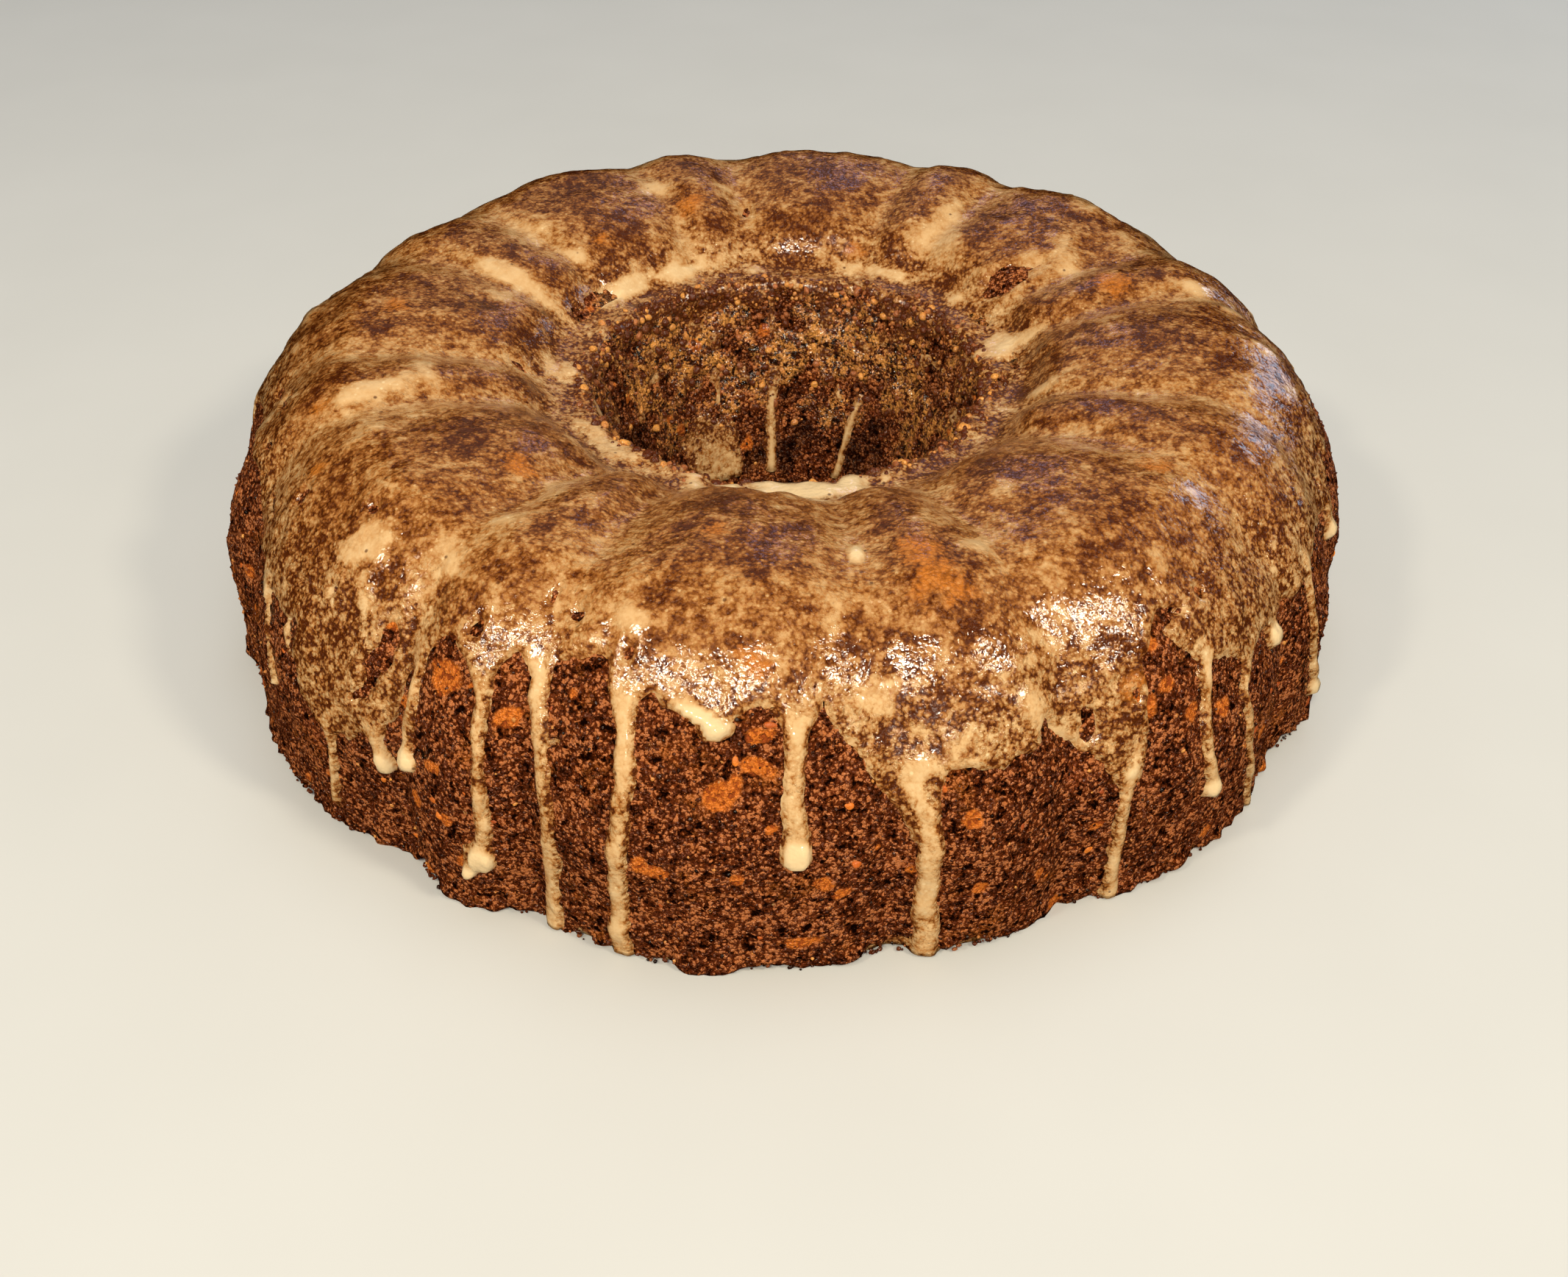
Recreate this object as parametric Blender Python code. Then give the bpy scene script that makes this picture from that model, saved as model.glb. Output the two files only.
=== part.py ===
"""A glazed fruit bundt cake, turned out of its pan and standing on its flat cut base.

One solid: a ring with a tapered hole through it. Eight wide rounded lobes alternate with eight
narrow ones. They run up the drafted wall, over the domed crown and end in blunt noses above a
narrow ledge round the hole. Metres, +Z up, origin at the centre of the base.
"""

import math

import bmesh
import bpy

# Driving dimensions
BASE_RADIUS = 0.122  # the lobes' reach at the base
HEIGHT = 0.061  # the crown of a wide lobe
HOLE_TOP_RADIUS = 0.0430
HOLE_BASE_RADIUS = 0.0285

# The section through the top of a wide lobe
WALL_TOP_RADIUS = 0.1212
WALL_TOP_Z = 0.0205
CROWN_RADIUS = 0.0890  # where the crown is level
DOME_POWER = 1.70  # 2 would be an ellipse, less is more pointed
NOSE_RADIUS = 0.0530  # where the lobes' noses meet the ledge
NOSE_POWER = 2.50
LEDGE_Z = 0.0480
RIM_ROUND = 0.0015  # the rounding between the ledge and the hole's wall
LOWER_ROUND = 0.0015  # the same at the hole's lower end

# The flutes
LOBE_PAIRS = 8
WIDE_SHARE = 0.675  # of a pair's width, that of the wide lobe
FIRST_WIDE_LOBE = math.radians(-6.0)  # from -Y, counted towards +X
BASE_FLUTE = 0.0050  # depth of the valleys at the base
SHOULDER_FLUTE = 0.0052
CROWN_FLUTE = 0.0022
NOSE_SWELL = 0.5  # how much deeper the valleys are halfway down from the crown to the ledge
WALL_ARC_SHARE = 0.6  # 1 gives lobes of round arcs with creases between them, 0 gives even waves
CROWN_ARC_SHARE = 0.0
WALL_NARROW_DROP = 0.10  # how much lower a narrow lobe stands, as a share of the flute depth
CROWN_NARROW_DROP = 0.22

# Fineness
WIDE_STEPS = 9
NARROW_STEPS = 5
WALL_STEPS = 3
DOME_STEPS = 10
NOSE_STEPS = 8
LEDGE_STEPS = 2
ROUND_STEPS = 2

CRUMB_COLOUR = (0.100, 0.030, 0.016, 1.0)
CRUMB_ROUGHNESS = 0.75


def remove_all_objects():
    for thing in list(bpy.data.objects):
        bpy.data.objects.remove(thing, do_unlink=True)


def crumb_material():
    material = bpy.data.materials.new("crumb")
    material.use_nodes = True
    shader = material.node_tree.nodes["Principled BSDF"]
    shader.inputs["Base Color"].default_value = CRUMB_COLOUR
    shader.inputs["Roughness"].default_value = CRUMB_ROUGHNESS
    shader.inputs["Metallic"].default_value = 0.0
    return material


def quarter(start, end, power, steps, first_flat):
    """Points after start up to end along a quarter of a superellipse. It leaves start level if
    first_flat is true, and upright otherwise."""
    points = []
    for step in range(1, steps + 1):
        angle = 0.5 * math.pi * step / steps
        near = math.cos(angle) ** (2.0 / power) if step < steps else 0.0
        far = math.sin(angle) ** (2.0 / power)
        along, across = (far, 1.0 - near) if first_flat else (1.0 - near, far)
        points.append((start[0] + (end[0] - start[0]) * along, start[1] + (end[1] - start[1]) * across))
    return points


def line(start, end, steps):
    """Points after start up to end on a straight line."""
    return [
        (start[0] + (end[0] - start[0]) * k / steps, start[1] + (end[1] - start[1]) * k / steps)
        for k in range(1, steps + 1)
    ]


def blend(start, end, share):
    return start + (end - start) * share


def section():
    """(radius, z, flute depth, softness) up the wall, over the crown and down the hole, at a wide
    lobe. Softness is 0 where the valleys are creases and 1 where they are even waves."""
    foot = (BASE_RADIUS, 0.0)
    wall_top = (WALL_TOP_RADIUS, WALL_TOP_Z)
    crown = (CROWN_RADIUS, HEIGHT)
    nose = (NOSE_RADIUS, LEDGE_Z)
    ledge_end = (HOLE_TOP_RADIUS + RIM_ROUND, LEDGE_Z)
    rim = (HOLE_TOP_RADIUS, LEDGE_Z - RIM_ROUND)
    hole_foot = (HOLE_BASE_RADIUS, LOWER_ROUND)
    base_end = (HOLE_BASE_RADIUS + LOWER_ROUND, 0.0)

    rows = [(*foot, BASE_FLUTE, 0.0)]
    for k, point in enumerate(line(foot, wall_top, WALL_STEPS), start=1):
        rows.append((*point, blend(BASE_FLUTE, SHOULDER_FLUTE, k / WALL_STEPS), 0.0))
    dome = quarter(wall_top, crown, DOME_POWER, DOME_STEPS, first_flat=False)
    for k, point in enumerate(dome, start=1):
        share = k / DOME_STEPS
        rows.append((*point, blend(SHOULDER_FLUTE, CROWN_FLUTE, share), share))
    noses = quarter(crown, nose, NOSE_POWER, NOSE_STEPS, first_flat=True)
    for k, point in enumerate(noses, start=1):
        share = k / NOSE_STEPS
        swell = 1.0 + NOSE_SWELL * math.sin(math.pi * share)
        rows.append((*point, CROWN_FLUTE * swell * (1.0 - share**3), 1.0))
    hole = line(nose, ledge_end, LEDGE_STEPS)
    hole += quarter(ledge_end, rim, 2.0, ROUND_STEPS, first_flat=True)
    hole += [hole_foot]
    hole += quarter(hole_foot, base_end, 2.0, ROUND_STEPS, first_flat=False)
    return rows + [(*point, 0.0, 1.0) for point in hole]


def inward_normals(rows):
    """The unit (radius, z) direction into the cake at each point of the section."""
    normals = []
    for k in range(len(rows)):
        before = rows[max(k - 1, 0)]
        after = rows[min(k + 1, len(rows) - 1)]
        along = (after[0] - before[0], after[1] - before[1])
        length = math.hypot(*along)
        normals.append((-along[1] / length, along[0] / length))
    normals[0] = (-1.0, 0.0)
    return normals


def columns():
    """(angle, place across its lobe from 0 to 1, whether the lobe is wide) round the ring."""
    pair = 2.0 * math.pi / LOBE_PAIRS
    around = []
    for lobe in range(2 * LOBE_PAIRS):
        wide = lobe % 2 == 0
        share = WIDE_SHARE if wide else 1.0 - WIDE_SHARE
        steps = WIDE_STEPS if wide else NARROW_STEPS
        start = FIRST_WIDE_LOBE + pair * (lobe // 2 - 0.5 * WIDE_SHARE)
        if not wide:
            start += pair * WIDE_SHARE
        around += [(start + pair * share * step / steps, step / steps, wide) for step in range(steps)]
    return around


def hollow(place, wide, softness):
    """0 on a wide lobe's top and 1 in a valley."""
    arc_share = blend(WALL_ARC_SHARE, CROWN_ARC_SHARE, softness)
    top = 1.0 if wide else 1.0 - blend(WALL_NARROW_DROP, CROWN_NARROW_DROP, softness)
    arc = math.sqrt(1.0 - (2.0 * place - 1.0) ** 2)
    return 1.0 - top * (arc_share * arc + (1.0 - arc_share) * math.sin(math.pi * place))


def cake_mesh():
    rows = section()
    inward = inward_normals(rows)
    around = columns()
    shape = bmesh.new()
    rings = []
    for (radius, z, depth, softness), (inward_r, inward_z) in zip(rows, inward):
        ring = []
        for angle, place, wide in around:
            sink = depth * hollow(place, wide, softness)
            r = radius + inward_r * sink
            height = z + inward_z * sink
            ring.append(shape.verts.new((r * math.sin(angle), -r * math.cos(angle), height)))
        rings.append(ring)
    count = len(around)
    for row, ring in enumerate(rings):
        above = rings[(row + 1) % len(rings)]
        for k in range(count):
            after = (k + 1) % count
            shape.faces.new((ring[k], ring[after], above[after], above[k]))
    bmesh.ops.recalc_face_normals(shape, faces=shape.faces)
    mesh = bpy.data.meshes.new("bundt_cake")
    shape.to_mesh(mesh)
    shape.free()
    mesh.shade_smooth()
    return mesh


def build_cake():
    mesh = cake_mesh()
    mesh.materials.append(crumb_material())
    cake = bpy.data.objects.new("bundt_cake", mesh)
    bpy.context.scene.collection.objects.link(cake)


remove_all_objects()
build_cake()
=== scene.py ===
import math

import bmesh
import bpy
import numpy as np
from mathutils import Euler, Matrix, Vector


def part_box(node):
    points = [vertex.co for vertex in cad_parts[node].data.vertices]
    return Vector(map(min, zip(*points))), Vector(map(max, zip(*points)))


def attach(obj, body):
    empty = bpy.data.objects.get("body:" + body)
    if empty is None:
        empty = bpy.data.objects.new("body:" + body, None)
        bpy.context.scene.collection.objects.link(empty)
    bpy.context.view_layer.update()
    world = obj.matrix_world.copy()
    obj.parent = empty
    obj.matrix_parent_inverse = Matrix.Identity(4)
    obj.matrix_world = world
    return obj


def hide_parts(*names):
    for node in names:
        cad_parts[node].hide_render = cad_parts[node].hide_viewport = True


# The looks of a glazed fruit bundt cake: a crumb body, a skin of tan glaze with its drips, bits of
# fruit and loose crumbs. Metres. Angles go round the cake from the front (-Y) towards +X, and a
# height along the section is counted in metres up the wall from the foot, over the crown and down
# into the hole.

MM = 0.001

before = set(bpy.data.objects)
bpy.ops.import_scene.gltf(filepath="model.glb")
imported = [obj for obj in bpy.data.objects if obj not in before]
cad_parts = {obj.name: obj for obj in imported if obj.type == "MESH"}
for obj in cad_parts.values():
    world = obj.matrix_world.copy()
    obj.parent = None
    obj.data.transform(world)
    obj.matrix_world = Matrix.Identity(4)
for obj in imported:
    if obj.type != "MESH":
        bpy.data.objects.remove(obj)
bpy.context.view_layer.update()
CAD_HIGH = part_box("bundt_cake")[1]

# Driving dimensions, from the cake's part in model.glb
BASE_RADIUS = 1.0033 * CAD_HIGH.x  # the lobes' reach: none of them points straight along an axis
HEIGHT = 1.0005 * CAD_HIGH.z

# The section through the top of a wide lobe, as shares of those two
WALL_TOP = (0.9934 * BASE_RADIUS, 0.336 * HEIGHT)
CROWN = (0.7295 * BASE_RADIUS, HEIGHT)
NOSE = (0.4344 * BASE_RADIUS, 0.787 * HEIGHT)
HOLE_TOP = (0.3525 * BASE_RADIUS, 0.787 * HEIGHT)
HOLE_FOOT = (0.2336 * BASE_RADIUS, 0)
DOME_POWER = 1.7
NOSE_POWER = 2.5
SECTION_ROUNDING = 1.3 * MM
CORE = (0.62 * BASE_RADIUS, 0.35 * HEIGHT)  # the middle of the section

# The flutes
LOBE_PAIRS = 8
WIDE_SHARE = 0.675
NARROW_DROP = 0.1
FIRST_WIDE_LOBE = math.radians(-6)
BASE_FLUTE = 5.0 * MM
SHOULDER_FLUTE = 5.2 * MM
CROWN_FLUTE = 3.3 * MM
NOSE_SWELL = 0.5  # how much deeper the valleys are halfway down to the hole
ARC_SHARE = 0.6
CREASE = 1.2  # degrees that the valleys are rounded over on the wall
SOFT_VALLEY = 4.2  # and on the crown

# Fineness of the tables that the form is read from
SECTION_POINTS = 2400
PER_DEGREE = 20

# Fineness of the two large meshes
COLUMNS = 900  # outside the crown; half as many inside it
WALL_STEP = 0.85 * MM
DOME_STEP = 1.6 * MM
INNER_STEP = 2.2 * MM
RIM_STEP = 1.0 * MM
WALL_REACH = 58 * MM  # up to here both meshes are fine, as the glaze ends here

# fmt: off
# In these tables a place is (degrees, millimetres along the section), and lengths are in millimetres.
# The glaze's lower edge on the shown side
GLAZE_EDGE = [
    (-84, 47), (-76, 50), (-70.5, 50), (-66.8, 45), (-59, 43), (-55, 41), (-52, 37), (-48.5, 33.5),
    (-46, 28.5), (-44, 25), (-42.3, 26.5), (-41, 25.5), (-39, 29), (-36.5, 33), (-35, 46), (-33.5, 52),
    (-30.8, 54.5), (-28.5, 52), (-26.5, 51), (-24.2, 56.5), (-22, 55), (-19.5, 57), (-16.5, 59.5),
    (-14.5, 57), (-12.5, 54.5), (-9, 52.5), (-5.5, 50.5), (-2, 54), (1, 52), (3, 54), (5.5, 47), (8, 38),
    (10.5, 31), (12, 33), (13.5, 41), (17, 39.5), (20, 36.5), (21.5, 42), (22.3, 46), (23.5, 42), (26, 37),
    (28.5, 31), (30.5, 29.5), (32, 37), (32.8, 50), (35, 53), (37.5, 48), (39.5, 43.5), (41.8, 42.5),
    (44.5, 39), (50, 40.5), (56, 39.5), (60, 41), (64, 44), (68, 42), (72, 39.5), (78, 44),
]
# Drips on the shown side: places from the top to the tip, width, tip width
DRIPS = [
    ([(-42.6, 32), (-43.3, 25), (-43.6, 15), (-44.3, 4.5)], 2.1, 1),
    ([(-38.4, 33), (-37.2, 22.5)], 3.2, 4),
    ([(-34.6, 54), (-33.7, 45), (-33.9, 34), (-33.5, 28)], 2.9, 4.2),
    ([(-27.2, 53), (-26.2, 45), (-25.8, 32), (-25.3, 23), (-25.8, 15), (-25.9, 13)], 2.9, 5),
    ([(-26.4, 14), (-27.1, 9.6)], 2.6, 2.6),
    ([(-22.2, 57), (-20.8, 42), (-19.9, 31), (-19.5, 20), (-20.1, -3)], 3.7, 3.5),
    ([(-13.7, 56), (-12.8, 40), (-13.2, 22), (-13.6, -3)], 3.8, 4.2),
    ([(-10, 55.5), (-7.8, 52), (-5.8, 49.5)], 4.2, 4.8),
    ([(1.2, 54), (0.8, 41), (1, 26.5)], 3.9, 5),
    ([(9.6, 44), (11.2, 35), (11.8, 26), (11.7, -3)], 4.4, 4),
    ([(30, 33), (29.3, 24), (29.2, 8), (29.6, -2)], 2.9, 2.6),
    ([(39.6, 48), (38, 33), (38.1, 27), (38.9, 18.5)], 2.9, 3.8),
    ([(45.8, 43), (43.8, 34), (43.9, 26), (46.2, 12), (48, -3)], 2.3, 1.7),
    ([(50.8, 42), (50.4, 36.5)], 3.4, 3.8),
    ([(60.2, 46), (58.8, 36), (58.9, 26), (60.9, 10.5)], 2.6, 3.8),
    ([(73.4, 40), (72, 33)], 3, 3.4),
    ([(-57.4, 43), (-55, 36), (-51.6, 25)], 1.2, 0.9),
]
# The same inside the hole
HOLE_DRIPS = [
    ([(-174.8, 152), (-174.4, 162), (-173.6, 180)], 2.6, 2.8),
    ([(149, 153), (152, 163), (156.5, 180)], 2.3, 2.9),
    ([(20, 128), (21.5, 160)], 3.2, 4.2), ([(-38, 128), (-36, 150)], 3, 3.8),
    ([(62, 128), (61, 172)], 2.6, 3.4), ([(-80, 128), (-81.5, 168)], 3.2, 4),
]
# Where the hole's wall took up more glaze, and where it is darker (a negative amount): place, half width,
# half height, amount
SOAKED_AND_DARKER = [
    (-141, 142, 15, 11, 0.55), (158, 141, 13, 8, 0.55), (118, 147, 6, 7, 0.5), (-176, 168, 8, 14, -1.2),
    (140, 163, 8, 10, -1.1), (-110, 155, 7, 10, -1), (174, 131, 4, 9, -0.6), (120, 134, 7, 6, -0.6),
    (60, 145, 14, 8, 0.4), (-20, 142, 12, 8, 0.4), (-60, 150, 9, 9, -0.8), (20, 158, 10, 9, -0.8),
]
# Sheets of glaze low in the hole: place, half width, half height
HOLE_SHEETS = [(-146, 170, 8.6, 13.5), (38, 166, 5, 9)]
# Bare windows in the coat: place, half width, half height, lean of the top
WINDOWS = [
    (-38.6, 44, 2, 9.5, 2.2), (-42.2, 33, 1, 1.8, 0), (-46, 51, 1, 1.2, 0), (-58, 58, 1.2, 2, 0),
    (120.5, 108, 3.4, 8.5, 0.8), (117.5, 121, 3, 1.6, 0), (-123, 117.5, 8, 1.7, 0),
    (-171.8, 99.6, 1.4, 1.8, 0), (-84, 112, 1.3, 2.5, 0.5), (93, 121, 3, 1, 0), (86, 124, 3, 1.2, 0),
    (0, 52.5, 3.2, 1.5, 0), (-47.5, 66, 0.8, 1, 0),
]
# Pools of cream glaze: the same, and a depth, which is negative where the coat is thinner
POOLS = [
    (-71, 85, 3.6, 15, -3.2, 1), (-112.6, 103, 3, 17, 1.6, 0.95), (-147, 118, 20, 4.6, 0, 1.35),
    (-156, 112.5, 8, 4.5, 0, 0.45), (169, 116.5, 4, 3, 0, 0.9), (163, 120, 4, 2.4, 0, 0.9),
    (149, 119.5, 6.5, 3, 0, 1), (127.3, 118.5, 4, 4.4, 0, 1.1), (104, 121, 4.5, 3.8, 0, 1.2),
    (100.5, 113, 1.8, 4.5, 1, 0.8), (74, 112.5, 2.2, 6.5, 1.5, 0.9), (3, 124, 17, 5.4, 0, 1.9),
    (-47, 124, 11, 3, 0, 1), (-95, 121, 12, 3, 0, 0.4), (-92, 92, 3.6, 3.2, 0, 0.7),
    (-128, 87, 6, 6, 0, 0.5), (-162, 102.5, 5, 4, 0, 0.4), (122, 99, 3.5, 5, 0, 0.6),
    (34, 78, 3.2, 6.5, 0, 0.6), (8.6, 83.5, 1.7, 2.4, 0.3, 1.9), (29.8, 30.5, 1.8, 2, 0, 1.5),
    (-45, 62, 3.4, 5, 1, 0.5), (-38, 68, 3.2, 5, 0, 0.35), (24, 40, 5, 2.5, 0, 0.6),
    (14.5, 43, 7, 3.5, 0, 0.5), (-5, 91, 6, 2, 0, 0.4), (-4, 73, 13, 8, 0, 0.2), (-62, 82, 12, 9, 0, 0.3),
    (163.3, 171, 1.8, 1.8, 0, 1.2), (-159.2, 138, 2.2, 2.2, 0, 1.2), (-149, 168, 6, 6, 0, 0.8),
    (-158, 136, 3, 3, 0, 0.6), (113, 140, 6, 14, 0, 0.35), (31.8, 92, 3.2, 4, 0, 0.5),
    (-49, 79, 9, 9, 0, 0.3), (7.5, 63, 9, 6, 0, -0.5), (-168, 107, 14, 7, 0, -0.25),
    (110, 84, 14, 10, 0, -0.2),
]
# Fruit cut open in the crumb's surface: place, length, width, turn in radians
FRUIT_SHOWN = [
    (-30.2, 30.5, 5, 3.4, 0.2), (-5, 38.5, 7.5, 6, 0.5), (-2, 43, 7, 4, 2.8), (-10.5, 23, 9.5, 4.2, 2.9),
    (-0.8, 32.1, 2.6, 2.4, 0), (15, 31, 4.2, 4, 0.3), (16, 15.2, 4, 4.2, 0), (4.8, 17.3, 4, 3, 0.6),
    (36.5, 36.7, 4.4, 4, 0.1), (-24, 44.5, 6, 5, 0.4), (-32.8, 19.8, 5.5, 3.8, 1.2), (-35, 39, 3.6, 3, 0),
    (1.5, 7, 9, 4, 0.1), (-30.5, 48, 8, 6, 0.3), (31.5, 41, 7, 6, 1.2), (-2, 48.5, 8, 3, 0.1),
    (27, 20, 4, 3, 0.8), (-44, 12, 4, 3, 0.4),
]
# Orange fruit under the glaze: place, radius
FRUIT_UNDER = [
    (15.8, 73, 5.5), (15.5, 80, 4.5), (-160.5, 97, 4), (-136.5, 103, 2.6), (161.5, 114, 2.6),
    (105, 91, 4.5), (51.3, 79, 4), (-93.8, 83, 3.6), (-70.2, 69, 3), (-41.5, 92, 3.4), (-59.8, 64, 2.4),
    (-8.5, 88, 3), (-2.5, 60, 3.2), (31, 46, 3), (-100, 40, 4), (180, 48, 4), (130, 62, 4), (-140, 60, 3.5),
]
# Where the cut foot stands off the plate: degrees, half width in degrees, height
LIFTS = [(-1.5, 2.5, 1.5), (9.5, 4.5, 2.6), (15.5, 2.5, 2.2), (-33, 2, 2.4), (-24, 1.5, 1)]
# fmt: on

COAT_DEPTH = 0.42 * MM
EDGE_BEAD = 0.55 * MM
DRIP_DEPTH = 1.0 * MM
TIP_DEPTH = 1.9 * MM
SUNK = 1.0 * MM  # how deep the glaze's skin runs under bare crumb
EDGE_ROUND = 1.3  # mm from a glaze edge to full depth
BLEND = 0.9  # mm, rounding where a drip leaves the coat
HIDDEN_SIDE = (88, 268)  # degrees, where the edge and the drips are chance ones
LAST_TIP = 176.0  # mm, a drip that runs on past this has no tip
GLAZE_START = 0.6 * MM  # the glaze's skin starts this far up the wall
GLAZE_END = 0.97  # and ends this share of the way down the hole
GLAZE_BACK = 3.4  # mm, how deep in the cake the back of that skin lies


# ---- numbers


def ease(t):
    t = np.clip(t, 0, 1)
    return t * t * (3.0 - 2.0 * t)


def lattice(x, y, z, seed):
    """A repeatable number from -1 to 1 for each whole-numbered point of space."""
    mixed = (x * 73856093) ^ (y * 19349663) ^ (z * 83492791) ^ (seed * 40503 + 977)
    mixed = ((mixed ^ (mixed >> 13)) * 1274126177) & 0x7FFFFFFF
    mixed = ((mixed ^ (mixed >> 15)) * 668265263) & 0x7FFFFFFF
    return ((mixed >> 8) & 0xFFFF) / 32767.5 - 1.0


def noise(points, size, seed, unit=MM):
    """Smooth noise from -1 to 1 with lumps of the given size."""
    scaled = points / (size * unit)
    whole = np.floor(scaled).astype(np.int64)
    part = ease(scaled - whole)
    total = np.zeros(points.shape[:-1])
    for corner in range(8):
        step = np.array([corner & 1, (corner >> 1) & 1, corner >> 2])
        weight = np.prod(np.where(step == 1, part, 1.0 - part), axis=-1)
        at = whole + step
        total += weight * lattice(at[..., 0], at[..., 1], at[..., 2], seed)
    return total


def nearest_cell(points, size, seed):
    """Distance to the nearest of one scattered centre per cube, in cubes, and that centre's number."""
    scaled = points / size
    whole = np.floor(scaled).astype(np.int64)
    best = np.full(points.shape[:-1], 9.0)
    value = np.zeros(points.shape[:-1])
    for step in np.ndindex(3, 3, 3):
        at = whole + np.array(step) - 1
        x, y, z = at[..., 0], at[..., 1], at[..., 2]
        centre = np.stack([lattice(x, y, z, seed + k) for k in range(3)], -1) * 0.4 + 0.5
        gap = np.linalg.norm(at + centre - scaled, axis=-1)
        closer = gap < best
        best = np.where(closer, gap, best)
        value = np.where(closer, lattice(x, y, z, seed + 3), value)
    return best, value


def circle_points(theta, radius=1, z=0):
    """Points round the axis. Noise read at them closes on itself."""
    return np.stack(np.broadcast_arrays(radius * np.sin(theta), -radius * np.cos(theta), z), -1)


def wrapped(angle):
    return (angle + math.pi) % (2 * math.pi) - math.pi


def turned(theta, degrees):
    """The angle from a place in degrees to theta, the short way round."""
    return wrapped(theta - np.radians(degrees))


# ---- the cake's form


def quarter(start, end, power, first_flat, count=120):
    angle = np.linspace(0, 0.5 * math.pi, count)[1:]
    near = np.clip(np.cos(angle), 0, 1) ** (2.0 / power)
    far = np.sin(angle) ** (2.0 / power)
    along, across = (far, 1.0 - near) if first_flat else (1.0 - near, far)
    return np.stack([start[0] + (end[0] - start[0]) * along, start[1] + (end[1] - start[1]) * across], -1)


def straight(start, end, count=40):
    t = np.linspace(0, 1, count)[1:, None]
    return np.array(start) * (1.0 - t) + np.array(end) * t


def rounded(line, lengths, width):
    """The line with its corners rounded. Its ends stay where they are."""
    step = lengths[-1] / (len(line) - 1)
    reach = int(3 * width / step)
    weights = np.exp(-0.5 * (np.arange(-reach, reach + 1) * step / width) ** 2)
    weights /= weights.sum()
    out = np.empty_like(line)
    for k in range(line.shape[1]):
        before = 2 * line[0, k] - line[reach:0:-1, k]
        after = 2 * line[-1, k] - line[-2 : -reach - 2 : -1, k]
        out[:, k] = np.convolve(np.concatenate([before, line[:, k], after]), weights, "valid")
    return out


def section_table():
    """Lengths along the section, (radius, z, outward radius, outward z, flute depth) at each, and the
    lengths at the crown and at the hole's rim."""
    foot = (BASE_RADIUS, 0)
    parts = [
        np.array([foot]),
        straight(foot, WALL_TOP),
        quarter(WALL_TOP, CROWN, DOME_POWER, first_flat=False),
        quarter(CROWN, NOSE, NOSE_POWER, first_flat=True),
        straight(NOSE, HOLE_TOP),
        straight(HOLE_TOP, HOLE_FOOT),
    ]
    inwards = np.linspace(0, 1, len(parts[3]))
    depths = [
        np.linspace(BASE_FLUTE, SHOULDER_FLUTE, len(parts[0]) + len(parts[1])),
        SHOULDER_FLUTE + (CROWN_FLUTE - SHOULDER_FLUTE) * ease(np.linspace(0, 1.15, len(parts[2]))),
        CROWN_FLUTE * (1.0 - inwards**3) * (1.0 + NOSE_SWELL * np.sin(math.pi * inwards)),
        np.zeros(len(parts[4]) + len(parts[5])),
    ]
    rough = np.column_stack([np.concatenate(parts), np.concatenate(depths)])
    run = np.append(0.0, np.cumsum(np.linalg.norm(np.diff(rough[:, :2], axis=0), axis=1)))
    lengths = np.linspace(0, run[-1], SECTION_POINTS)
    line = np.stack([np.interp(lengths, run, values) for values in rough.T], -1)
    crown_at, nose_at, rim_at = run[np.cumsum([len(part) for part in parts])[2:5] - 1]
    soft = rounded(line, lengths, 3.0 * SECTION_ROUNDING)
    near_nose = np.exp(-(((lengths - nose_at) / (7 * MM)) ** 2))[:, None]
    line = rounded(line, lengths, SECTION_ROUNDING) * (1.0 - near_nose) + soft * near_nose
    slope = np.gradient(line[:, :2], lengths, axis=0)
    slope /= np.linalg.norm(slope, axis=1)[:, None]
    table = np.stack([line[:, 0], line[:, 1], slope[:, 1], -slope[:, 0], line[:, 2]], -1)
    return lengths, table, crown_at, rim_at


LENGTHS, TABLE, CROWN_AT, RIM_AT = section_table()
SECTION_END = LENGTHS[-1]
RIM_MM = RIM_AT / MM
RIM_LOW = RIM_AT - 5 * MM  # the rim needs finer rows from here
RIM_HIGH = RIM_AT + 5 * MM  # to here
SOAKED_END = RIM_AT + 28 * MM  # down to here the hole's wall is soaked with glaze, and lumpy


def hollow(theta):
    """0 on top of a wide lobe and 1 in a valley. The valleys wander a little, as baked ones do."""
    wander = 0.02 * noise(circle_points(theta), 0.35, 11, 1)
    pair = 2.0 * math.pi / LOBE_PAIRS
    u = ((theta + wander - FIRST_WIDE_LOBE) / pair + 0.5 * WIDE_SHARE) % 1.0
    wide = u < WIDE_SHARE
    place = np.where(wide, u / WIDE_SHARE, (u - WIDE_SHARE) / (1.0 - WIDE_SHARE))
    top = np.where(wide, 1, 1.0 - NARROW_DROP)
    arc = np.sqrt(np.clip(1.0 - (2.0 * place - 1) ** 2, 0, 1))
    return 1.0 - top * (ARC_SHARE * arc + (1.0 - ARC_SHARE) * np.sin(math.pi * place))


HOLLOW_ANGLES = np.linspace(-math.pi, math.pi, 360 * PER_DEGREE + 1)


def hollow_table(degrees):
    sharp = hollow(HOLLOW_ANGLES)[:-1]
    reach = int(degrees * PER_DEGREE)
    weights = np.hanning(2 * reach + 1)
    weights /= weights.sum()
    soft = np.convolve(np.concatenate([sharp[-reach:], sharp, sharp[:reach]]), weights, "valid")
    return np.append(soft, soft[0])


CREASED = hollow_table(CREASE)
SOFTENED = hollow_table(SOFT_VALLEY)


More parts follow.
